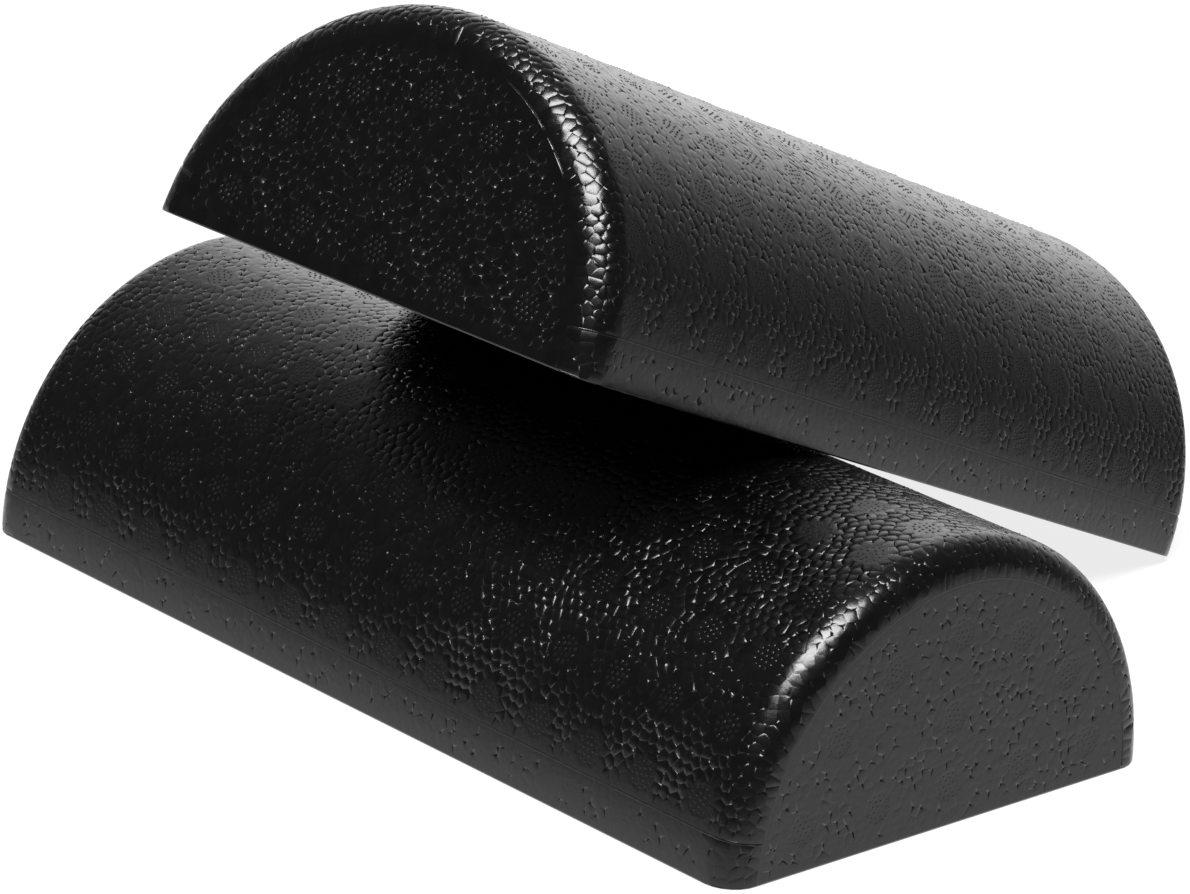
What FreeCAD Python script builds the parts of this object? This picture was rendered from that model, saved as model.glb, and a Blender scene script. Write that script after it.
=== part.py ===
import FreeCAD, Part
import math
import os

import Sketcher
from FreeCAD import Placement, Rotation, Vector

# A pair of half-round foam rollers, each one solid moulding of black bead foam.
#
# The lower half lies on its flat base. Its axis is X, Z is up, and the origin is the
# centre of its base. The upper half lies across it, flat base down: the base leans on
# the lower barrel, and one rounded corner of the base stands on the floor.
# Lengths are in millimetres and angles in degrees.

SIZES = {
    # one moulding
    "roller_length": 304.8,  # 12 inches
    "barrel_radius": 76.2,  # half of 6 inches, and also the height of one half
    "end_round": 9.0,  # where the barrel turns into a flat end
    "edge_round": 1.0,  # all round the flat base
    # the line that the mould's end plate leaves round the flat end
    "witness_width": 0.6,
    "witness_depth": 0.3,
    # the shallow discs that the mould's steam vents leave in the flat end
    "vent_diameter": 9.3,
    "vent_depth": 0.2,
    "ring_radius": 53.0,
    "ring_start": 13.0,  # angle of the ring's first vent above the base
    "row_height": 11.5,
    "row_pitch": 25.6,
    "centre_height": 30.4,
    # how the upper half lies
    "lean": 22.84,  # slope of its base
    "crossing": 97.34,  # turn of its axis from the lower one, in the plane of its base
    "offset_along": -2.6,  # its centre, along the lower axis
    "seat_gap": 0.3,  # between its base and the lower barrel
}
VENTS_ON_RING = 7
VENTS_IN_ROW = 3

# the points of a sketch's element, and the sketch's own origin and upright axis
START, END, CENTRE = 1, 2, 3
ORIGIN = (-1, START)
UPRIGHT = -2


def make_sheet(doc):
    """The driving dimensions, one aliased cell each."""
    sheet = doc.addObject("Spreadsheet::Sheet", "sizes")
    for row, (alias, value) in enumerate(SIZES.items(), start=1):
        sheet.set(f"A{row}", alias)
        sheet.set(f"B{row}", str(value))
        sheet.setAlias(f"B{row}", alias)
    doc.recompute()
    return sheet


def origin_feature(body, role):
    """One of the body's own origin planes or axes."""
    return next(f for f in body.Origin.OriginFeatures if f.Role == role)


def new_sketch(body, name, plane, offset=None):
    """A sketch on one of the body's planes, moved along its normal by an expression."""
    sketch = body.newObject("Sketcher::SketchObject", name)
    sketch.AttachmentSupport = [(origin_feature(body, plane), "")]
    sketch.MapMode = "FlatFace"
    if offset:
        sketch.setExpression("AttachmentOffset.Base.z", offset)
    return sketch


def rule(sketch, *terms):
    """A geometric constraint."""
    sketch.addConstraint(Sketcher.Constraint(*terms))


def drive(sketch, name, expression, *terms):
    """A dimension, named and bound to the sheet."""
    index = sketch.addConstraint(Sketcher.Constraint(*terms))
    sketch.renameConstraint(index, name)
    sketch.setExpression(f"Constraints.{name}", expression)


def closed_outline(sketch, corners):
    """Straight lines through the corners, joined end to start."""
    lines = [
        sketch.addGeometry(Part.LineSegment(a, b), False)
        for a, b in zip(corners, corners[1:] + corners[:1])
    ]
    for line, following in zip(lines, lines[1:] + lines[:1]):
        rule(sketch, "Coincident", line, END, following, START)
    return lines


def add_barrel(body):
    """Half of the barrel's length: its half-round section, padded towards +X."""
    sketch = new_sketch(body, "half_round_section", "YZ_Plane")
    radius = SIZES["barrel_radius"]
    circle = Part.Circle(Vector(), Vector(0, 0, 1), radius)
    arc = sketch.addGeometry(Part.ArcOfCircle(circle, 0, math.pi), False)
    flat = sketch.addGeometry(
        Part.LineSegment(Vector(-radius, 0, 0), Vector(radius, 0, 0)), False
    )
    rule(sketch, "Coincident", arc, CENTRE, *ORIGIN)
    rule(sketch, "Coincident", arc, END, flat, START)
    rule(sketch, "Coincident", arc, START, flat, END)
    rule(sketch, "Horizontal", flat)
    rule(sketch, "Symmetric", flat, START, flat, END, *ORIGIN)
    drive(sketch, "radius", "sizes.barrel_radius", "Radius", arc, radius)

    pad = body.newObject("PartDesign::Pad", "barrel")
    pad.Profile = sketch
    pad.setExpression("Length", "sizes.roller_length / 2")
    return pad


def add_round(body, base, name, picks, size):
    """A fillet on each edge of base that picks accepts."""
    numbered = enumerate(base.Shape.Edges, start=1)
    fillet = body.newObject("PartDesign::Fillet", name)
    fillet.Base = (base, [f"Edge{number}" for number, edge in numbered if picks(edge)])
    fillet.setExpression("Radius", size)
    return fillet


def is_end_arc(edge):
    """True for the half circle round the flat end."""
    return isinstance(edge.Curve, Part.Circle) and edge.BoundBox.XMin > 1


def is_base_edge(edge):
    """True for an edge of the base, other than the one in the middle of the barrel."""
    box = edge.BoundBox
    return max(abs(box.ZMin), abs(box.ZMax)) < 1e-6 and box.XMax > 1


def add_witness_line(body):
    """The V-shaped line round the flat end, turned about the barrel's axis."""
    sketch = new_sketch(body, "witness_section", "XZ_Plane")
    face = SIZES["roller_length"] / 2
    middle = SIZES["barrel_radius"] - SIZES["end_round"]
    half_width = SIZES["witness_width"] / 2
    depth = SIZES["witness_depth"]
    mouth, flank, back = closed_outline(
        sketch,
        [
            Vector(face, middle - half_width, 0),
            Vector(face, middle + half_width, 0),
            Vector(face - depth, middle, 0),
        ],
    )
    rule(sketch, "Vertical", mouth)
    rule(sketch, "Equal", flank, back)
    tip = (flank, END)
    drive(
        sketch, "face", "sizes.roller_length / 2",
        "DistanceX", *ORIGIN, mouth, START, face,
    )
    drive(
        sketch, "middle", "sizes.barrel_radius - sizes.end_round",
        "DistanceY", *ORIGIN, *tip, middle,
    )
    drive(
        sketch, "width", "sizes.witness_width",
        "DistanceY", mouth, START, mouth, END, 2 * half_width,
    )
    drive(
        sketch, "depth", "sizes.witness_depth",
        "DistanceX", *tip, mouth, START, depth,
    )

    groove = body.newObject("PartDesign::Groove", "witness_line")
    groove.Profile = sketch
    groove.ReferenceAxis = (origin_feature(body, "X_Axis"), [""])
    groove.Angle = 360
    return groove


def add_vent(body, name, place, hold):
    """A shallow disc in the flat end. hold binds the disc's centre to the sheet."""
    sketch = new_sketch(body, f"{name}_outline", "YZ_Plane", "sizes.roller_length / 2")
    diameter = SIZES["vent_diameter"]
    disc = sketch.addGeometry(Part.Circle(place, Vector(0, 0, 1), diameter / 2), False)
    drive(sketch, "diameter", "sizes.vent_diameter", "Diameter", disc, diameter)
    hold(sketch, (disc, CENTRE), place)

    pocket = body.newObject("PartDesign::Pocket", name)
    pocket.Profile = sketch
    pocket.setExpression("Length", "sizes.vent_depth")
    return pocket


def hold_on_ring(sketch, centre, place):
    """Binds the centre by its distance and angle from the barrel's axis."""
    spoke = sketch.addGeometry(Part.LineSegment(Vector(), place), True)
    rule(sketch, "Coincident", spoke, START, *ORIGIN)
    rule(sketch, "Coincident", spoke, END, *centre)
    drive(sketch, "reach", "sizes.ring_radius", "Distance", spoke, SIZES["ring_radius"])
    start_angle = math.radians(SIZES["ring_start"])
    drive(sketch, "start_angle", "sizes.ring_start", "Angle", spoke, start_angle)


def hold_in_row(sketch, centre, place):
    """Binds the centre one pitch to the side, at the row's height."""
    drive(sketch, "side", "sizes.row_pitch", "DistanceX", *centre, *ORIGIN, -place.x)
    drive(sketch, "height", "sizes.row_height", "DistanceY", *ORIGIN, *centre, place.y)


def hold_in_middle(sketch, centre, place):
    """Binds the centre straight above the barrel's axis."""
    rule(sketch, "PointOnObject", *centre, UPRIGHT)
    drive(
        sketch, "height", "sizes.centre_height", "DistanceY", *ORIGIN, *centre, place.y
    )


def add_vents(doc, body):
    """The steam vents of the flat end: a ring, a row near the base and one between."""
    start_angle = math.radians(SIZES["ring_start"])
    ring_place = SIZES["ring_radius"] * Vector(math.cos(start_angle), math.sin(start_angle))
    ring_vent = add_vent(body, "ring_vent", ring_place, hold_on_ring)
    ring = body.newObject("PartDesign::PolarPattern", "vent_ring")
    ring.Originals = [ring_vent]
    ring.Axis = (origin_feature(body, "X_Axis"), [""])
    ring.setExpression("Angle", "180 - 2 * sizes.ring_start")
    ring.Occurrences = VENTS_ON_RING
    body.Tip = ring
    doc.recompute()

    row_place = Vector(-SIZES["row_pitch"], SIZES["row_height"])
    row_vent = add_vent(body, "row_vent", row_place, hold_in_row)
    row = body.newObject("PartDesign::LinearPattern", "vent_row")
    row.Originals = [row_vent]
    row.Direction = (origin_feature(body, "Y_Axis"), [""])
    row.setExpression("Length", f"{VENTS_IN_ROW - 1} * sizes.row_pitch")
    row.Occurrences = VENTS_IN_ROW
    body.Tip = row
    doc.recompute()

    middle_place = Vector(0, SIZES["centre_height"])
    add_vent(body, "middle_vent", middle_place, hold_in_middle)
    doc.recompute()


def make_half(doc, label):
    """One moulding: half its length is modelled, then mirrored about the middle."""
    body = doc.addObject("PartDesign::Body", label)
    body.Label = label
    barrel = add_barrel(body)
    doc.recompute()
    end_round = add_round(body, barrel, "end_round", is_end_arc, "sizes.end_round")
    doc.recompute()
    add_round(body, end_round, "edge_round", is_base_edge, "sizes.edge_round")
    doc.recompute()
    add_witness_line(body)
    doc.recompute()
    add_vents(doc, body)

    whole = body.newObject("PartDesign::Mirrored", "whole_moulding")
    whole.TransformMode = "Whole shape"
    whole.MirrorPlane = (origin_feature(body, "YZ_Plane"), [""])
    whole.Refine = True
    body.Tip = whole
    doc.recompute()
    return body


def lie_across(sheet):
    """Where the upper half lies: on the lower barrel's side and on one corner."""
    lean = math.radians(sheet.lean)
    turn = Rotation(Vector(1, 0, 0), -sheet.lean) * Rotation(Vector(0, 0, 1), sheet.crossing)
    along = turn.multVec(Vector(1, 0, 0))
    across = turn.multVec(Vector(0, 1, 0))

    # Height of the base's centre over its lowest point, which is on the rounded corner
    # at the downhill end: half the length and half the width to the middle of the
    # corner's round, then the round itself.
    round_to_centre = sheet.end_round - sheet.edge_round
    height = (
        (sheet.roller_length / 2 - sheet.end_round) * abs(along.z)
        + (sheet.barrel_radius - sheet.end_round) * abs(across.z)
        + round_to_centre * math.sin(lean)
        + sheet.edge_round * (1 - math.cos(lean))
    )
    # The plane of the base passes the lower barrel's axis at its radius and the gap.
    reach = sheet.barrel_radius + sheet.seat_gap
    sideways = (reach - height * math.cos(lean)) / math.sin(lean)
    return Placement(Vector(sheet.offset_along, sideways, height), turn)


def check(doc, bodies):
    """Stops the script if any object failed or a body is not one valid solid."""
    for item in doc.Objects:
        failed = {"Invalid", "Error"} & set(item.State)
        if failed:
            raise RuntimeError(f"{item.Name} is {sorted(failed)}")
    for body in bodies:
        shape = body.Shape
        if shape.isNull() or not shape.isValid() or len(shape.Solids) != 1:
            raise RuntimeError(f"{body.Label} is not one valid solid")


def report(body):
    """Prints a moulding's volume beside that of a plain half cylinder, and its box."""
    plain = math.pi * SIZES["barrel_radius"] ** 2 / 2 * SIZES["roller_length"]
    box = body.Shape.optimalBoundingBox(False, False)
    print(f"{body.Label}: {body.Shape.Volume / plain:.4f} of a plain half cylinder")
    print(f"  X {box.XMin:.2f} to {box.XMax:.2f}")
    print(f"  Y {box.YMin:.2f} to {box.YMax:.2f}")
    print(f"  Z {box.ZMin:.3f} to {box.ZMax:.2f}")


def main():
    doc = FreeCAD.newDocument("half_round_rollers")
    sheet = make_sheet(doc)
    lower = make_half(doc, "lower_half_roller")
    upper = make_half(doc, "upper_half_roller")
    upper.Placement = lie_across(sheet)
    doc.recompute()

    bodies = (lower, upper)
    check(doc, bodies)
    os.makedirs("parts", exist_ok=True)
    for body in bodies:
        report(body)
        body.Shape.exportStep(f"parts/{body.Label}.step")
    overlap = lower.Shape.common(upper.Shape).Volume
    gap = lower.Shape.distToShape(upper.Shape)[0]
    print(f"overlap {overlap:.3f} cubic mm, gap {gap:.3f} mm")


main()
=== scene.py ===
"""Looks of a pair of half-round rollers moulded from black bead foam.

There are two pieces, one closed mesh for each half. A mesh is a mosaic of moulded beads: every bead is a
low pillow with a shallow groove round it, and between the beads lie the mould's vent marks and parting lines.
A moulding is laid out in its own frame, in millimetres: +X along the barrel, +Z up from the flat base, and
angles round the barrel counted from +Y over the crown. It is then set down where its CAD solid lies, in
metres. Relief is how rough the beads' joints are, from 0 for a smooth skin to about 2.
"""

import math
from functools import partial

import bpy
import numpy as np
from mathutils import Matrix, Vector
from mathutils.geometry import delaunay_2d_cdt


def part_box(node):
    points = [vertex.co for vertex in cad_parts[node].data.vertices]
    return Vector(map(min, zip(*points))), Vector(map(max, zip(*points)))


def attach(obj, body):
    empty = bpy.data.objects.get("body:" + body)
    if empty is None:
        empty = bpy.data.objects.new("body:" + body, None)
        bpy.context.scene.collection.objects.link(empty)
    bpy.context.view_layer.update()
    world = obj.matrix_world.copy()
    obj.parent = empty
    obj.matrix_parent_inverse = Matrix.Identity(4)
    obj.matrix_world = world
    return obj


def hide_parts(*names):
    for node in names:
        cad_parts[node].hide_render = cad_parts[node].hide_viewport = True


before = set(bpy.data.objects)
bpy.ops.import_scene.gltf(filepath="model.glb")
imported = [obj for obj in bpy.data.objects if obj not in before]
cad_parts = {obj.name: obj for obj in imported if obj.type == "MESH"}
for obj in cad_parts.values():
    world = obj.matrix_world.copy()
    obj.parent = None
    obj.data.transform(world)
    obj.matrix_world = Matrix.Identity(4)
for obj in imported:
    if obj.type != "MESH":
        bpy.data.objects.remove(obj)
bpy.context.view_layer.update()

MM = 0.001
LOWER, UPPER = "lower_half_roller", "upper_half_roller"
low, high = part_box(LOWER)
HALF_LENGTH = (high.x - low.x) / 2 / MM
RADIUS = (high.z - low.z) / MM
END_ROUND = 9.0  # where the barrel turns over into the end faces
EDGE_ROUND = 0.6  # all round the flat base

PITCH = 3.3  # from bead to bead
SHAKE = 0.42  # how far bead centres start off their grid, in pitches
WALL_CLEAR = 0.2  # no bead starts this near to a region's wall, in pitches
CALM = 0.6  # and there is no relief this near, in pitches
EVENING = 2  # rounds of evening out the beads
GROOVE_DEPTH = 0.04
GROOVE_POWER, GROOVE_MOST = 2.5, 4.5  # the depth grows with this power of the relief, up to this many times
GROOVE_INSET = 0.5  # from a groove's bottom to the shoulder of a bead, at its corners
INSET_MOST = 0.42  # but at most this share of the way to the bead's middle
NOTCH_SHARE = 0.35  # share of the bead corners where the grooves run deeper
NOTCH_DEPTH = 0.105
PIT_SIZES = (0.22, 0.38), (0.42, 0.58)  # radii of the narrow and the wide pits at bead corners
WIDE_SHARE = 0.18  # share of the pits that are wide
PIT_STEEP = 1.0  # a pit's depth over its radius
PIT_SHOULDER = 1.25, 0.08  # from a pit's middle to the shoulders round it, in radii and more
RIM_MOST = 0.4  # a pit's rim is at most this share of the way to the next corner
BARREL_PITS, BAND_PITS, BASE_PITS = 0.45, 0.2, 0.3  # share of the bead corners with pits
CROWN = 0.045  # how far a bead's middle stands above its shoulder
LIFT, TILT = 0.02, 0.02  # spread of the beads' heights and slopes
SUNK_SHARE = 0.03  # share of the beads that lie a little low
SUNK = 0.10
BASE_RELIEF = 0.4  # on the base and the bands along it
END_RELIEF = {-1: 1.0, 1: 0.4}
END_PITS = {-1: 0.75, 1: 0.25}
MERGE = 0.40  # bead corners nearer than this are one corner

VENT_PIPS = (1, 0), (6, 1.7), (12, 3.3)  # a vent mark's pips: how many on a ring of what radius
VENT_CLEAR = 3.9  # no bead has its middle this near to a vent's
VENT_SINK = 0.05
PIP_SHAKE = 0.14
PIP_RADIUS = 0.44
PIP_HEIGHT = 0.21
END_PIPS = {-1: 0.27, 1: 0.1}  # height of the pips on each end face
PIP_WEAR, PIP_FOOT_WEAR = 0.4, 0.3

MOULD_LINE = 9.7  # parting line, in degrees up the barrel from its base
SEAM_GAP = 0.30  # from a parting line to the beads each side
SEAM_SINK = 0.02
FLASH = 0.05  # height of the flash on a parting line
FLASH_STEP = 1.6
BASE_REST = 0.20  # the shoulders of the base's beads stay this far off the floor
EDGE_STEP = 2.4  # from point to point along the base's round edge
WITNESS_INSET = 0.8  # from the end round to the witness ring on an end face
WITNESS_DEPTH = 0.16
WITNESS_LIP = 0.10
WITNESS_SLOPE = 0.1  # from the ring's middle to its lip and to its valley
WITNESS_ARCS = {1: (-10, 46), -1: (107, 138)}  # where the ring shows on each end face, in degrees

STRAIGHT = HALF_LENGTH - END_ROUND  # half the barrel's straight run
ACROSS = RADIUS - END_ROUND  # radius of the flat end faces
ALONG = STRAIGHT + END_ROUND * math.pi / 2  # from mid-length over the end round to the end face
WITNESS = ACROSS - WITNESS_INSET  # radius of the witness ring
ROUND = RADIUS * math.pi  # round the barrel, from base edge to base edge
OUTLINE = 4 * ALONG + 4 * ACROSS  # round the base


# ---- the moulding's surfaces: a place on one is two runs and a height above it


def profile(a, height):
    """Place along the barrel and distance from its axis, at a run from mid-length over the end round."""
    run = np.abs(a)
    over = (np.clip(run, STRAIGHT, ALONG) - STRAIGHT) / END_ROUND
    x = np.sign(a) * (np.minimum(run, STRAIGHT) + (END_ROUND + height) * np.sin(over))
    return x, ACROSS + (END_ROUND + height) * np.cos(over) - np.clip(run - ALONG, 0, None)


def barrel(a, b, height):
    """The barrel with its rounded ends: a runs along it and b round it."""
    x, reach = profile(a, height)
    return np.stack([x, reach * np.cos(b / RADIUS), reach * np.sin(b / RADIUS)], -1)


def end_face(side):
    """An end face: a runs along Y and b up."""
    return lambda a, b, height: np.stack([side * (HALF_LENGTH + height), a, b], -1)


def base_face(a, b, height):
    """The flat base, which rests on its beads: a runs along X and b along Y."""
    return np.stack([a, b, np.maximum(BASE_REST - height, 0)], -1)


def on_outline(run, inset):
    """Places on the base's outline, moved inwards. The run starts amid the +Y side, towards +X."""
    turned = (run + ALONG) // (OUTLINE / 2)
    run = run - turned * OUTLINE / 2
    x, y = profile(np.minimum(run, ALONG), -inset)
    y = np.where(run > ALONG, ACROSS - (run - ALONG), y)
    return np.stack([x, y], -1) * (1 - 2 * (turned % 2))[:, None]


# ---- the walls of a region: for each point its foot on the wall, how far inside it lies, and the foot's run


def straight_wall(axis, value, inward):
    def wall(p):
        foot = p.copy()
        foot[:, axis] = value
        return foot, inward * (p[:, axis] - value), p[:, 1 - axis]

    return wall


def arc_wall(radius):
    def wall(p):
        reach = np.maximum(np.linalg.norm(p, axis=1), 1e-9)
        return p * (radius / reach)[:, None], radius - reach, np.arctan2(p[:, 1], p[:, 0]) * RADIUS

    return wall


def outline_wall(inset):
    core = np.array([STRAIGHT, ACROSS])

    def wall(p):
        q = np.clip(p, -core, core)
        reach = np.linalg.norm(p - q, axis=1)
        out = (p - q) / np.maximum(reach, 1e-9)[:, None]
        on_end = np.abs(out[:, 1]) < 1e-6
        side = np.where(np.where(on_end, out[:, 0], out[:, 1]) < 0, -1, 1)
        over = END_ROUND * np.arctan2(side * out[:, 0], np.abs(out[:, 1]))
        run = np.where(on_end, ALONG + ACROSS - side * q[:, 1], side * q[:, 0] + over)
        return q + out * (END_ROUND - inset), END_ROUND - inset - reach, run + (side < 0) * OUTLINE / 2

    return wall


# ---- cells


def mirrored(seeds, walls):
    """The seeds and their images in each wall in turn, which make the cells end along the walls."""
    for wall in walls:
        foot, inside, _ = wall(seeds)
        near = (inside > 0) & (inside < 2 * PITCH)
        seeds = np.concatenate([seeds, 2 * foot[near] - seeds[near]])
    return seeds


def cells_round(seeds, walls):
    """Cells round the seeds. Returns triangles of seeds, the cell corner in each, and two lists that go
    cell by cell: the cell's seed, and its corners in order round it."""
    points = mirrored(seeds, walls)
    found = delaunay_2d_cdt([Vector(p) for p in points], [], [], 0, 1e-6)
    source = np.array([s[0] for s in found[3]])
    tri = source[np.array(found[2])]
    tri = tri[(tri < len(seeds)).any(1)]
    a, b, c = (points[tri[:, k]] for k in range(3))
    b, c = b - a, c - a
    twice = 2 * (b[:, 0] * c[:, 1] - b[:, 1] * c[:, 0])
    bb, cc = (b**2).sum(1), (c**2).sum(1)
    x = (c[:, 1] * bb - b[:, 1] * cc) / twice
    y = (b[:, 0] * cc - c[:, 0] * bb) / twice
    corner = a + np.stack([x, y], -1)
    owner, index = tri.ravel(), np.repeat(np.arange(len(tri)), 3)
    owner, index = owner[owner < len(seeds)], index[owner < len(seeds)]
    off = corner[index] - points[owner]
    order = np.lexsort((np.arctan2(off[:, 1], off[:, 0]), owner))
    return tri, corner, owner[order], index[order]


def following(owner):
    """Where the next corner of the same cell is in a list that goes cell by cell."""
    last = np.append(owner[1:] != owner[:-1], True)
    first = np.append(True, last[:-1])
    after = np.arange(1, len(owner) + 1)
    after[last] = np.flatnonzero(first)
    return after


def middles(corner, owner, index):
    """Centroids of the cells."""
    p = corner[index]
    q = p[following(owner)]
    cross = p[:, 0] * q[:, 1] - q[:, 0] * p[:, 1]
    sums = [np.bincount(owner, (p[:, k] + q[:, k]) * cross) for k in (0, 1)]
    return np.stack(sums, -1) / (3 * np.bincount(owner, cross))[:, None]


def merged(corner, tri, count):
    """Numbers for the cell corners, the same number for neighbours that lie too close together."""
    sides = np.sort(np.concatenate([tri[:, [0, 1]], tri[:, [1, 2]], tri[:, [2, 0]]]), axis=1)
    which = np.tile(np.arange(len(tri)), 3)
    order = np.lexsort((sides[:, 1], sides[:, 0]))
    sides, which = sides[order], which[order]
    pair = (sides[1:] == sides[:-1]).all(1) & (sides[1:, 0] < count)
    i, j = which[:-1][pair], which[1:][pair]
    close = np.linalg.norm(corner[i] - corner[j], axis=1) < MERGE
    i, j = i[close], j[close]
    name = np.arange(len(tri))
    while (name[i] != name[j]).any():
        least = np.minimum(name[i], name[j])
        np.minimum.at(name, i, least)
        np.minimum.at(name, j, least)
    return np.unique(name, return_inverse=True)[1]


class Skin:
    """A closed mesh in the making: points, faces, and what the material reads there."""

    def __init__(self):
        self.places, self.depth, self.wear, self.faces, self.tone = [], [], [], [], []
        self.count = 0

    def points(self, places, depth=0.0, wear=0.0):
        """Adds points and returns their numbers."""
        self.places.append(places)
        self.depth.append(np.broadcast_to(depth, len(places)))
        self.wear.append(np.broadcast_to(wear, len(places)))
        self.count += len(places)
        return np.arange(self.count - len(places), self.count)

    def add_faces(self, corners, tone, flip):
        self.faces += (corners[:, ::-1] if flip else corners).tolist()
        self.tone.append(np.broadcast_to(tone, len(corners)))

    def zip_rows(self, *rows, flip=False):
        """Fills the strips between rows of points that run the same way, each row being (runs, numbers)."""
        for (run_a, a), (run_b, b) in zip(rows, rows[1:]):
            i, j, made = 0, 0, []
            while i < len(a) - 1 or j < len(b) - 1:
                if j == len(b) - 1 or (i < len(a) - 1 and run_a[i + 1] <= run_b[j + 1]):
                    made.append((a[i], b[j], a[i + 1]))
                    i += 1
                else:
                    made.append((a[i], b[j], b[j + 1]))
                    j += 1
            self.add_faces(np.array(made), 0.5, flip)

    def mesh(self, name, matrix):
        mesh = bpy.data.meshes.new(name)
        places = np.concatenate(self.places) * MM
        places = places @ np.array(matrix.to_3x3()).T + np.array(matrix.translation)
        mesh.from_pydata(places, [], self.faces)
        depth = np.concatenate(self.depth)
        # the material darkens the colour by depth, as painted shade in grooves and pits
        for label, kind, values in (
            ("depth", "POINT", depth),
            ("wear", "POINT", np.concatenate(self.wear)),
            ("tone", "FACE", np.concatenate(self.tone)),
        ):
            mesh.attributes.new(label, "FLOAT", kind).data.foreach_set("value", values.astype(np.float32))
        mesh.polygons.foreach_set("use_smooth", np.ones(len(mesh.polygons), bool))
        ends = np.empty(len(mesh.edges) * 2, np.int32)
        mesh.edges.foreach_get("vertices", ends)
        creases = (depth[ends.reshape(-1, 2)] > 0.4).all(1)  # along the bottoms of grooves
        mesh.attributes.new("sharp_edge", "BOOLEAN", "EDGE").data.foreach_set("value", creases)
        return mesh


def sown(rng, walls, box, vents):
    """Middles of the beads, spread evenly over a region, and of the pips of its vent marks."""
    (a0, b0), (a1, b1) = box
    rows = max(1, round((b1 - b0) / (PITCH * math.sqrt(0.75))))
    columns = round((a1 - a0) / PITCH)
    grid = np.stack(np.meshgrid(np.arange(columns) + 0.5, np.arange(rows) + 0.5), -1)
    grid[..., 0] += 0.25 - 0.5 * (np.arange(rows) % 2)[:, None]
    grid = grid.reshape(-1, 2) * [(a1 - a0) / columns, (b1 - b0) / rows] + [a0, b0]
    grid += rng.uniform(-SHAKE, SHAKE, grid.shape) * PITCH
    beads = grid[np.all([wall(grid)[1] > WALL_CLEAR * PITCH for wall in walls], axis=0)]
    pips = np.empty((0, 2))
    if len(vents):
        far = np.linalg.norm(beads[:, None] - vents[None], axis=2).min(1) > VENT_CLEAR
        beads = beads[far]
        turns = rng.uniform(0, math.tau, len(vents))
        rings = [
            np.stack([np.cos(t), np.sin(t)], -1) * radius
            for count, radius in VENT_PIPS
            for t in (turns + k * math.tau / count for k in range(count))
        ]
        pips = (vents[None] + np.array(rings)).reshape(-1, 2)
        pips += rng.uniform(-PIP_SHAKE, PIP_SHAKE, pips.shape)
    for _ in range(EVENING):
        _, corner, owner, index = cells_round(np.concatenate([beads, pips]), walls)
        beads = middles(corner, owner, index)[: len(beads)]
    return beads, pips


def fitted_cells(seeds, walls, corners):
    """Cells round the seeds, fitted to the region's walls and its own corners.

    Returns the places of the cell corners, how far each was from a wall, for each wall which of them lie on
    it, and two lists that go cell by cell: the cell's seed, and its corners in order round it.
    """
    tri, corner, owner, index = cells_round(seeds, walls)
    name = merged(corner, tri, len(seeds))
    shared = np.bincount(name)[:, None]
    place = np.stack([np.bincount(name, corner[:, k]) for k in (0, 1)], -1) / shared
    on_edge = np.bincount(name, (tri >= len(seeds)).any(1)) > 0
    index = name[index]
    keep = index != index[following(owner)]
    owner, index = owner[keep], index[keep]

    reach = np.abs([wall(place)[1] for wall in walls])
    member = [on_edge & (reach.argmin(0) == k) for k in range(len(walls))]
    for wall, here in zip(walls, member):
        place[here] = wall(place[here])[0]
    for spot, pair in corners:
        nearest = np.where(on_edge, np.linalg.norm(place - spot, axis=1), np.inf).argmin()
        place[nearest] = spot
        for k in range(len(walls)):
            member[k][nearest] = k in pair
    return place, reach.min(0), on_edge, member, owner, index


def groove_depths(rng, relief):
    """How deep the grooves are at the cell corners, some of which are notched."""
    count = len(relief)
    deep = GROOVE_DEPTH * np.minimum(relief**GROOVE_POWER, GROOVE_MOST) * rng.uniform(0.3, 1.4, count)
    notched = rng.random(count) < NOTCH_SHARE * relief
    return deep + NOTCH_DEPTH * notched * rng.uniform(0.4, 1.3, count) * np.sqrt(relief)


def pit_radii(rng, share, count):
    """Radii of the pits at the cell corners, and 0 where there is none."""
    luck = rng.random(count)
    narrow, wide = (rng.uniform(*sizes, count) for sizes in PIT_SIZES)
    return np.where(luck < share * WIDE_SHARE, wide, np.where(luck < share, narrow, 0))


def outlined(skin, surface, place, deep, bore, number, owner, index):
    """The cells' outlines, where the rim of a pit has a point on each groove that runs into it.

    Returns two lists that go cell by cell: the outline's points, and which cell corner each belongs to.
    """
    open_pit = bore > 0
    after = following(owner)
    before = np.empty_like(after)
    before[after] = np.arange(len(after))
    at_pit = np.flatnonzero(open_pit[index])
    pairs = np.concatenate([index[at_pit], index[at_pit]]), np.concatenate(
        [index[after[at_pit]], index[before[at_pit]]])
    keys, rim = np.unique(pairs[0] * len(place) + pairs[1], return_inverse=True)
    pit, way = keys // len(place), keys % len(place)
    step = place[way] - place[pit]
    share = np.minimum(bore[pit] / np.linalg.norm(step, axis=1), RIM_MOST)[:, None]
    rim = skin.points(surface(*(place[pit] + share * step).T, -deep[pit]), 1.0)[rim]
    length = np.where(open_pit[index], 3, 1)
    start = np.cumsum(length) - length
    outline = np.empty(length.sum(), int)
    outline[start + length // 2] = number[index]
    outline[start[at_pit]], outline[start[at_pit] + 2] = rim[len(at_pit) :], rim[: len(at_pit)]
    return outline, np.repeat(np.arange(len(owner)), length)


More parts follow.
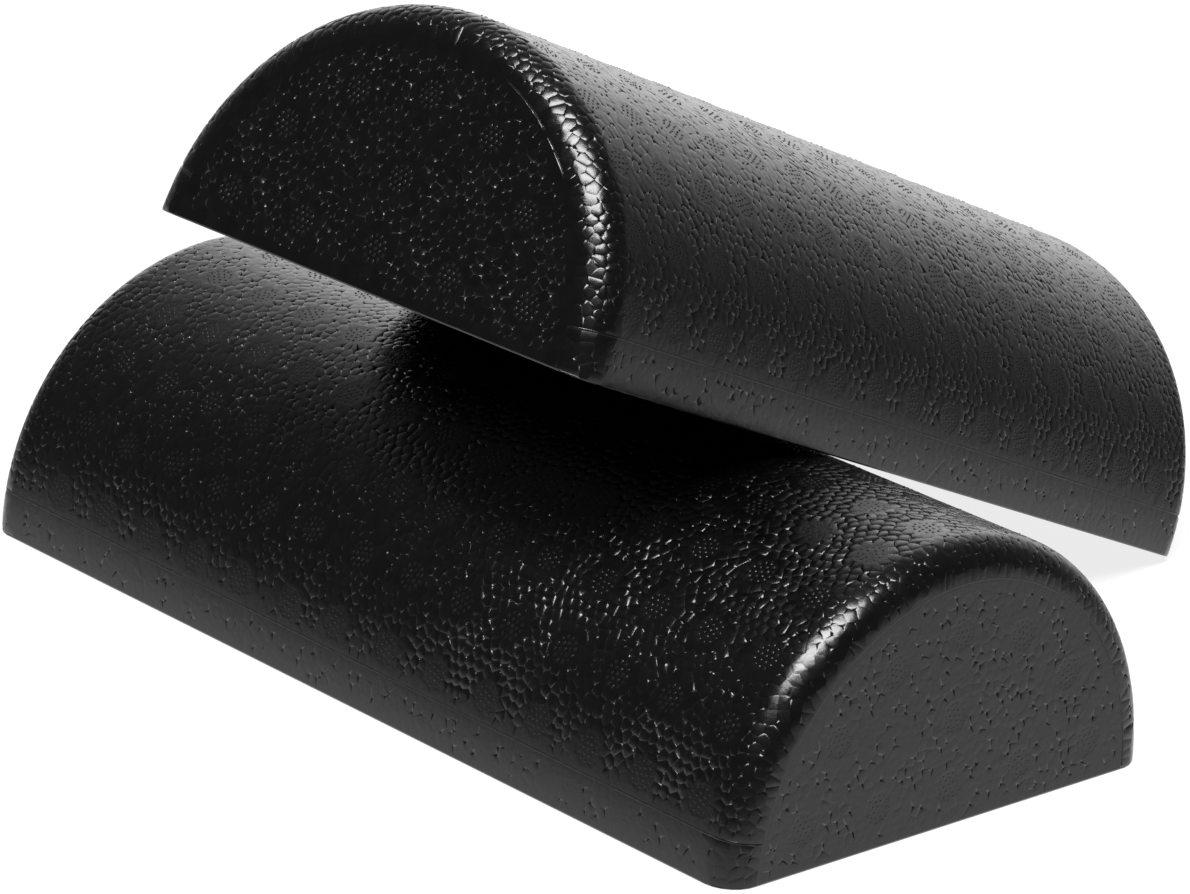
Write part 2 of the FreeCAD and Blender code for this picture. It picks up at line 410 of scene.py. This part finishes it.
def lay_beads(
    skin, rng, surface, walls, corners, box, relief_at, pits, flip, vents=(), pip_height=PIP_HEIGHT
):
    """Fills a region with beads. Returns the points along each wall, as a row of (runs, numbers)."""
    beads, pips = sown(rng, walls, box, vents)
    seeds = np.concatenate([beads, pips])
    place, clearance, on_edge, member, owner, index = fitted_cells(seeds, walls, corners)

    # cell corners lie low in the grooves, and some are the bottoms of open pits
    is_pip = owner >= len(beads)
    beside_pip = np.bincount(index, is_pip, len(place)) > 0
    amid_pips = np.bincount(index, ~is_pip, len(place)) == 0
    calm = np.clip(clearance / PITCH - CALM, 0, 1)
    calm[beside_pip] = 0
    relief = relief_at(place)
    spread = relief.min()
    relief = relief * uneven(rng, place) * calm
    deep = groove_depths(rng, relief)
    deep = np.where(amid_pips, VENT_SINK, np.where(on_edge, SEAM_SINK, deep))
    for spot, _ in corners:
        deep[np.linalg.norm(place - spot, axis=1) < 0.01] = 0
    bore = pit_radii(rng, pits, len(place)) * (calm > 0.1)
    bore[on_edge | amid_pips] = 0
    # this depth also darkens the colour in the material, as painted shade in grooves, pits and vent floors
    hollow = np.select([bore > 0, amid_pips], [2.0, 0.3], 1.0)  # the material's depth: 1 in a groove
    number = skin.points(surface(*place.T, -deep - PIT_STEEP * bore), hollow)
    outline, entry = outlined(skin, surface, place, deep, bore, number, owner, index)

    # tops of the beads and the pips
    tone = rng.random(len(seeds))
    calm = np.clip(np.min([wall(seeds)[1] for wall in walls], axis=0) / PITCH - CALM, 0, 1)
    lift = rng.normal(0, LIFT * spread, len(seeds)) - SUNK * spread * (rng.random(len(seeds)) < SUNK_SHARE)
    lift *= calm
    tilt = rng.normal(0, TILT * spread, (len(seeds), 2)) * calm[:, None]
    crown = CROWN * spread * rng.uniform(0.3, 1.5, len(seeds))
    peak = pip_height * rng.uniform(0.5, 1.2, len(seeds))
    is_bead = np.arange(len(seeds)) < len(beads)
    middle = middles(place, owner, index)
    middle[len(beads) :] = pips
    rise = np.where(is_bead, lift + crown, peak)
    top = skin.points(surface(*middle.T, rise), 0.0, np.where(is_bead, 0.0, PIP_WEAR))

    # shoulders of the beads, and feet of the pips
    inward = middle[owner] - place[index]
    span = np.linalg.norm(inward, axis=1)
    inset = np.maximum(GROOVE_INSET, PIT_SHOULDER[0] * bore[index] + PIT_SHOULDER[1])
    inset *= rng.uniform(0.85, 1.2, len(owner))
    share = np.where(is_pip, 1 - PIP_RADIUS / span, np.minimum(inset / span, INSET_MOST))
    foot = place[index] + inward * share[:, None]
    rise = ((foot - middle[owner]) * tilt[owner]).sum(1) + lift[owner]
    rise = np.where(is_pip, -VENT_SINK, rise)
    ring = skin.points(
        surface(*foot.T, rise), np.where(is_pip, 0.5, 0.0), np.where(is_pip, PIP_FOOT_WEAR, 0.0))

    following_point = following(owner[entry])
    p, q, ring_p, ring_q = outline, outline[following_point], ring[entry], ring[entry[following_point]]
    cell_tone = tone[owner[entry]]
    same = ring_p == ring_q
    quads = np.stack([p, q, ring_q, ring_p], -1)
    skin.add_faces(quads[~same], cell_tone[~same], flip)
    skin.add_faces(quads[same][:, :3], cell_tone[same], flip)
    fans = np.stack([ring, ring[following(owner)], top[owner]], -1)
    skin.add_faces(fans, tone[owner], flip)

    rows = []
    for wall, here in zip(walls, member):
        run = wall(place[here])[2]
        order = run.argsort()
        rows.append((run[order], number[here][order]))
    return rows


def uneven(rng, places):
    """Slow random waves about 1, since a moulding comes out rougher in some places than in others."""
    waves = rng.uniform(-0.11, 0.11, (5, 2))
    return np.clip(1 + 0.10 * np.sin(places @ waves.T + rng.uniform(0, math.tau, 5)).sum(1), 0.7, 1.4)


def level(relief):
    """The same relief all over."""
    return lambda places: np.full(len(places), relief)


def patchy(rng, count):
    """Smooth random values from 0 to 1 along a line, so that flash comes and goes."""
    knots = rng.uniform(-0.3, 1.2, max(4, count // 4))
    values = np.interp(np.linspace(0, len(knots) - 1, count), np.arange(len(knots)), knots)
    return np.clip(values, 0, 1)


def joined(*rows):
    """Rows end to end, sorted by their runs."""
    run, number = (np.concatenate(x) for x in zip(*rows))
    order = run.argsort(kind="stable")
    return run[order], number[order]


def closed(row):
    """A row round the base's outline with its first point again at its end."""
    run, number = row
    run = (run + ALONG) % OUTLINE - ALONG
    order = run.argsort()
    run, number = run[order], number[order]
    return np.append(run, run[0] + OUTLINE), np.append(number, number[0])


def moulding(name, matrix, barrel_vents, rough_end, seed):
    """The mesh of one half. From mid-length towards +X the barrel's relief changes to rough_end."""
    rng = np.random.default_rng(seed)
    skin = Skin()
    line = math.radians(MOULD_LINE) * RADIUS
    end = ALONG + WITNESS_INSET - SEAM_GAP
    base = RADIUS * math.asin(EDGE_ROUND / RADIUS)

    def strip(b0, b1, relief, pits, vents=()):
        sides = (0, -end, 1), (0, end, -1), (1, b0, 1), (1, b1, -1)
        walls = [straight_wall(*side) for side in sides]
        corners = [((-end, b0), (0, 2)), ((end, b0), (1, 2)), ((-end, b1), (0, 3)), ((end, b1), (1, 3))]
        box = (-end, b0), (end, b1)
        return lay_beads(skin, rng, barrel, walls, corners, box, relief, pits, True, vents)

    def along_barrel(places):
        run, relief = zip(
            (-ALONG, 0.4), (-STRAIGHT - 9, 1.4), (-STRAIGHT - 2, 1.4), (3 - STRAIGHT, 0.85), (0, 0.85),
            (70, rough_end), (STRAIGHT - 3, rough_end), (STRAIGHT + 2, 0.9), (ALONG, 0.3))
        return np.interp(places[:, 0], run, relief)

    main = strip(line + SEAM_GAP, ROUND - line - SEAM_GAP, along_barrel, BARREL_PITS, barrel_vents)
    near = strip(base, line - SEAM_GAP, level(BASE_RELIEF), BAND_PITS)
    far = strip(ROUND - line + SEAM_GAP, ROUND - base, level(BASE_RELIEF), BAND_PITS)

    # flash along the two parting lines of the barrel
    run = np.linspace(-end, end, round(2 * end / FLASH_STEP))
    ridges = []
    for b, below, above in ((line, near[3], main[2]), (ROUND - line, main[3], far[2])):
        flash = patchy(rng, len(run)) * np.clip((STRAIGHT - np.abs(run)) / 4, 0, 1)
        ridge = run, skin.points(barrel(run, np.full(len(run), b), FLASH * flash), 0.3, flash)
        skin.zip_rows(below, ridge, above)
        ridges.append(ridge[1])

    # end faces, each in a witness ring with a lip
    face_radius = WITNESS - SEAM_GAP
    span = math.sqrt(face_radius**2 - EDGE_ROUND**2)
    rings = {}
    faces = {}
    for side, k in ((-1, 0), (1, 1)):
        walls = [arc_wall(face_radius), straight_wall(1, EDGE_ROUND, 1)]
        corners = [((-span, EDGE_ROUND), (0, 1)), ((span, EDGE_ROUND), (0, 1))]
        box = (-face_radius, EDGE_ROUND), (face_radius, face_radius)
        faces[side] = lay_beads(
            skin, rng, end_face(side), walls, corners, box, level(END_RELIEF[side]), END_PITS[side],
            side < 0, end_vents(), END_PIPS[side])
        skirt = joined(
            near[k],
            (np.array([line]), ridges[0][[-k]]),
            main[k],
            (np.array([ROUND - line]), ridges[1][[-k]]),
            far[k],
        )
        run = np.linspace(base, ROUND - base, round(ROUND * WITNESS / RADIUS / FLASH_STEP))
        start, stop = np.radians(WITNESS_ARCS[side]) * RADIUS
        shown = np.clip(np.minimum(run - start, stop - run) / 3, 0, 1) * rng.uniform(0.2, 1, len(run))
        edge = np.full(len(run), side * (ALONG + WITNESS_INSET))
        lip = run, skin.points(barrel(edge - side * WITNESS_SLOPE, run, WITNESS_LIP * shown), 0.3, shown)
        valley = run, skin.points(barrel(edge + side * WITNESS_SLOPE, run, -WITNESS_DEPTH * shown), shown)
        skin.zip_rows(skirt, lip, valley, faces[side][0], flip=side > 0)
        rings[side] = lip[1], valley[1]

    # base, and the round edge up to the rest
    ring_at = ALONG + WITNESS_INSET
    bottom = lay_beads(
        skin, rng, base_face, [outline_wall(EDGE_ROUND)], [],
        ((-HALF_LENGTH, -RADIUS), (HALF_LENGTH, RADIUS)), level(BASE_RELIEF), BASE_PITS, True, BASE_VENTS)[0]
    half = OUTLINE / 2
    top = joined(
        near[2],
        (half - far[3][0], far[3][1]),
        (ALONG + ACROSS - faces[1][1][0], faces[1][1][1]),
        (half + ALONG + ACROSS + faces[-1][1][0], faces[-1][1][1]),
        *(
            (at + way * WITNESS_SLOPE * np.array([-1, 1]), np.array([rings[side][0][k], rings[side][1][k]]))
            for at, way, side, k in (
                (ring_at, 1, 1, 0), (half - ring_at, -1, 1, -1),
                (half + ring_at, 1, -1, -1), (OUTLINE - ring_at, -1, -1, 0))
        ),
    )
    run = np.arange(-ALONG, OUTLINE - ALONG - 1, EDGE_STEP)
    inset = EDGE_ROUND * (1 - math.sqrt(0.5))
    middle = np.column_stack([on_outline(run, inset), np.full(len(run), inset)])
    skin.zip_rows(closed(top), closed((run, skin.points(middle))), closed(bottom), flip=True)
    return skin.mesh(name, matrix)


# ---- vent marks

ARC_RADIUS, ROW_PITCH, ROW_HEIGHT, CENTRE_HEIGHT = 53, 25.6, 11.5, 30.4  # on an end face


def barrel_vents(first, pitch, count, seed):
    """Vent marks in rows along the barrel, every 15 degrees round it."""
    rng = np.random.default_rng(seed)
    x, angle = np.meshgrid(first + pitch * np.arange(count), np.radians(np.arange(15, 166, 15)))
    marks = np.stack([x, angle * RADIUS], -1).reshape(-1, 2)
    return marks + rng.uniform(-0.6, 0.6, marks.shape)


def end_vents():
    """Vent marks on an end face: seven on an arc, three in a row and one in the middle."""
    arc = np.radians(np.linspace(13, 167, 7))
    marks = [(ARC_RADIUS * math.cos(t), ARC_RADIUS * math.sin(t)) for t in arc]
    marks += [(-ROW_PITCH, ROW_HEIGHT), (0, ROW_HEIGHT), (ROW_PITCH, ROW_HEIGHT), (0, CENTRE_HEIGHT)]
    return np.array(marks)


BASE_VENTS = np.stack(np.meshgrid(np.linspace(-130, 130, 11), np.linspace(-52, 52, 5)), -1).reshape(-1, 2)


# ---- where a half lies


def lie_of(node):
    """The moulding's frame as the CAD solid lies: its base is the solid's largest flat face."""
    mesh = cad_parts[node].data
    mesh.calc_loop_triangles()
    co = np.array([v.co for v in mesh.vertices])
    tri = co[np.array([t.vertices for t in mesh.loop_triangles])]
    area = np.cross(tri[:, 1] - tri[:, 0], tri[:, 2] - tri[:, 0]) / 2
    size = np.linalg.norm(area, axis=1)
    tri, area, size = tri[size > 0], area[size > 0], size[size > 0]
    group = np.unique(np.round(area / size[:, None], 2), axis=0, return_inverse=True)[1].ravel()
    base = group == np.bincount(group, size).argmax()
    up = -area[base].sum(0)
    up /= np.linalg.norm(up)
    tri, size = tri[base], size[base]
    centre = (tri.mean(1) * size[:, None]).sum(0) / size.sum()
    off = tri - centre
    spread = np.einsum("t,tki,tkj->ij", size, off, off)
    spread += np.einsum("t,ti,tj->ij", size, off.sum(1), off.sum(1))
    along = np.linalg.eigh(spread)[1][:, -1]
    along *= np.sign(along[0] if abs(along[2]) < 1e-3 else -along[2])
    side = np.cross(up, along)
    matrix = Matrix([*zip(along, side, up)]).to_4x4()
    matrix.translation = Vector(centre)
    return matrix


# ---- material


def math_node(tree, operation, a, b, clamp=False):
    """A math node's output. What it works on are numbers or other nodes' outputs."""
    made = tree.nodes.new("ShaderNodeMath")
    made.operation, made.use_clamp = operation, clamp
    for socket, value in zip(made.inputs, (a, b)):
        if isinstance(value, (int, float)):
            socket.default_value = value
        else:
            tree.links.new(value, socket)
    return made.outputs[0]


def bead_foam():
    material = bpy.data.materials.new("bead_foam")
    material.use_nodes = True
    nodes, links = material.node_tree.nodes, material.node_tree.links
    calc = partial(math_node, material.node_tree)
    shader = nodes["Principled BSDF"]
    shader.inputs["Specular IOR Level"].default_value = 0.42

    def node(kind, **settings):
        made = nodes.new(kind)
        for key, value in settings.items():
            if key in made.inputs:
                made.inputs[key].default_value = value
            else:
                setattr(made, key, value)
        return made

    def read(label):
        return node("ShaderNodeAttribute", attribute_name=label).outputs["Fac"]

    place = node("ShaderNodeTexCoord").outputs["Object"]

    def noise(scale, detail=2.0, roughness=0.5):
        made = node("ShaderNodeTexNoise", Scale=scale, Detail=detail, Roughness=roughness)
        links.new(place, made.inputs["Vector"])
        return made.outputs["Fac"]

    depth, wear, tone = read("depth"), read("wear"), read("tone")
    wrinkles, cloud, grain = noise(900, 3.0, 0.6), noise(14), noise(4200, 1.0)

    # near-black, a little different from bead to bead, with greyer flash, and painted shade that darkens the
    # grooves and pits
    shade = calc("MULTIPLY_ADD", tone, 0.5)
    shade.node.inputs[2].default_value = 0.7
    shade = calc("MULTIPLY", shade, calc("ADD", calc("MULTIPLY", cloud, 0.6), 0.7))
    # painted shade: the deeper a point lies in a groove or pit, the darker its colour
    shade = calc("MULTIPLY", shade, calc("SUBTRACT", 1.0, calc("MULTIPLY", depth, 0.45), True))
    shade = calc("ADD", shade, calc("MULTIPLY", wear, 0.6))
    tint = node("ShaderNodeMix", data_type="RGBA")
    tint.inputs["A"].default_value = (0.0, 0.0, 0.0, 1)
    tint.inputs["B"].default_value = (0.0014, 0.0014, 0.00145, 1)
    links.new(calc("MULTIPLY", shade, 0.5), tint.inputs["Factor"])
    links.new(tint.outputs["Result"], shader.inputs["Base Color"])

    # bead tops are glossy, and the walls of pits and pips are rougher
    rough = calc("ADD", calc("MULTIPLY", tone, 0.05), 0.175)
    rough = calc("ADD", rough, calc("MULTIPLY", wrinkles, 0.08))
    in_pit = calc("SUBTRACT", depth, 1.0, True)
    rough = calc("ADD", rough, calc("MULTIPLY", calc("MAXIMUM", in_pit, wear), 0.22))
    links.new(rough, shader.inputs["Roughness"])

    height = calc("ADD", wrinkles, calc("MULTIPLY", grain, 0.25))
    bump = node("ShaderNodeBump", Strength=0.35, Distance=0.00012)
    links.new(height, bump.inputs["Height"])
    links.new(bump.outputs["Normal"], shader.inputs["Normal"])
    return material


foam = bead_foam()
for node_name, body, piece_name, marks, rough_end, seed in (
    (LOWER, "lower_half", "lower_half_foam", barrel_vents(-123, 20, 14, 3), 1.65, 11),
    (UPPER, "upper_half", "upper_half_foam", barrel_vents(-140, 19.2, 15, 4), 0.85, 12),
):
    piece = bpy.data.objects.new(piece_name, moulding(piece_name, lie_of(node_name), marks, rough_end, seed))
    bpy.context.scene.collection.objects.link(piece)
    piece.data.materials.append(foam)
    flat_tops = piece.modifiers.new("flat_tops", "WEIGHTED_NORMAL")
    flat_tops.keep_sharp = True
    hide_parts(node_name)
    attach(piece, body)


# ---- floor, light and camera

FLOOR_REACH, WALL_TURN, WALL_TOP = 8.0, 4.0, 9.0  # metres
ROOM = 0.13
FLOOR_GLOW, FLOOR_UP = 1.14, (65, 86.7)
DIM, BRIGHT = 0.066, -0.477  # cosines from the floor's upward direction, where its glow starts and is full
GLOW, GLOW_TIGHT, GLOW_DIRECTION = 1.95, 7.9, (135, 14)


def add_sweep():
    """The floor, which turns up into a pale wall all round. The foam mirrors the room instead."""
    steps = np.linspace(0, math.pi / 2, 13)
    reach = np.concatenate([[0.0], FLOOR_REACH + WALL_TURN * np.sin(steps), [FLOOR_REACH + WALL_TURN]])
    height = np.concatenate([[0.0], WALL_TURN * (1 - np.cos(steps)), [WALL_TOP]])
    around = np.radians(np.arange(0, 360, 5))
    rings = [
        np.stack([r * np.cos(around), r * np.sin(around), 0 * around + z], -1)
        for r, z in zip(reach[1:], height[1:])
    ]
    places = np.concatenate([[(0.0, 0.0, 0.0)], *rings])
    here = np.arange(len(around))
    there = np.roll(here, -1)
    faces = np.stack([0 * here, here + 1, there + 1], -1).tolist()
    for k in range(len(rings) - 1):
        inner, outer = 1 + k * len(around), 1 + (k + 1) * len(around)
        faces += np.stack([inner + here, outer + here, outer + there, inner + there], -1).tolist()
    mesh = bpy.data.meshes.new("floor")
    mesh.from_pydata(places, [], faces)
    mesh.polygons.foreach_set("use_smooth", np.ones(len(mesh.polygons), bool))
    floor = bpy.data.objects.new("floor", mesh)
    floor.visible_glossy = floor.visible_diffuse = floor.visible_shadow = False
    bpy.context.scene.collection.objects.link(floor)
    material = bpy.data.materials.new("floor")
    material.use_nodes = True
    shader = material.node_tree.nodes["Principled BSDF"]
    shader.inputs["Base Color"].default_value = (0.14, 0.14, 0.14, 1)
    shader.inputs["Roughness"].default_value = 0.9
    shader.inputs["Specular IOR Level"].default_value = 0.0
    shader.inputs["Emission Color"].default_value = (1, 1, 1, 1)
    shader.inputs["Emission Strength"].default_value = 0.82
    mesh.materials.append(material)


def add_room():
    """What the foam mirrors: a dim room with a lit floor near the object and a soft white glow behind it."""
    world = bpy.data.worlds.new("room")
    bpy.context.scene.world = world
    world.use_nodes = True
    nodes, links = world.node_tree.nodes, world.node_tree.links
    calc = partial(math_node, world.node_tree)
    ray = nodes.new("ShaderNodeTexCoord").outputs["Generated"]

    def along(azimuth, elevation):
        made = nodes.new("ShaderNodeVectorMath")
        made.operation = "DOT_PRODUCT"
        links.new(ray, made.inputs[0])
        made.inputs[1].default_value = direction(azimuth, elevation)
        return made.outputs["Value"]

    floor = nodes.new("ShaderNodeMapRange")
    floor.interpolation_type = "SMOOTHSTEP"
    for name, value in (("From Min", DIM), ("From Max", BRIGHT), ("To Min", 0.0), ("To Max", FLOOR_GLOW)):
        floor.inputs[name].default_value = value
    links.new(along(*FLOOR_UP), floor.inputs["Value"])
    short = calc("SUBTRACT", along(*GLOW_DIRECTION), 1.0)
    lobe = calc("EXPONENT", calc("MULTIPLY", short, GLOW_TIGHT), 0)
    glow = calc("MAXIMUM", calc("MULTIPLY", lobe, GLOW), floor.outputs["Result"])
    links.new(calc("ADD", glow, ROOM), nodes["Background"].inputs["Color"])


def direction(azimuth, elevation):
    """Unit vector at an azimuth from +X towards +Y and an elevation, in degrees."""
    a, e = math.radians(azimuth), math.radians(elevation)
    return Vector((math.cos(a) * math.cos(e), math.sin(a) * math.cos(e), math.sin(e)))


def add_panel(name, azimuth, elevation, distance, width, height, radiance):
    """A soft light panel that faces the object."""
    light = bpy.data.lights.new(name, "AREA")
    light.shape = "RECTANGLE"
    light.size, light.size_y = width, height
    light.energy = radiance * math.pi * width * height
    panel = bpy.data.objects.new(name, light)
    panel.location = Vector((0, 0.05, 0.08)) + direction(azimuth, elevation) * distance
    panel.rotation_euler = direction(azimuth, elevation).to_track_quat("Z", "Y").to_euler()
    panel.visible_camera = False
    bpy.context.scene.collection.objects.link(panel)


add_sweep()
add_room()
add_panel("softbox", azimuth=-52, elevation=63, distance=3.0, width=2.2, height=1.25, radiance=27)

camera = bpy.data.objects.new("camera", bpy.data.cameras.new("camera"))
camera.data.lens = 164.6
camera.data.sensor_width = 36
HEADING, DIP, ROLL = 136.44, 19.47, 3.88
CAMERA_AT = (1.01078, -0.94786, 0.54672)
turn = Matrix.Rotation(math.radians(HEADING - 90), 4, "Z") @ Matrix.Rotation(math.radians(90 - DIP), 4, "X")
roll = Matrix.Rotation(math.radians(ROLL), 4, "Z")
camera.matrix_world = Matrix.Translation(CAMERA_AT) @ turn @ roll
bpy.context.scene.collection.objects.link(camera)
bpy.context.scene.camera = camera
bpy.context.scene.view_settings.view_transform = "Standard"
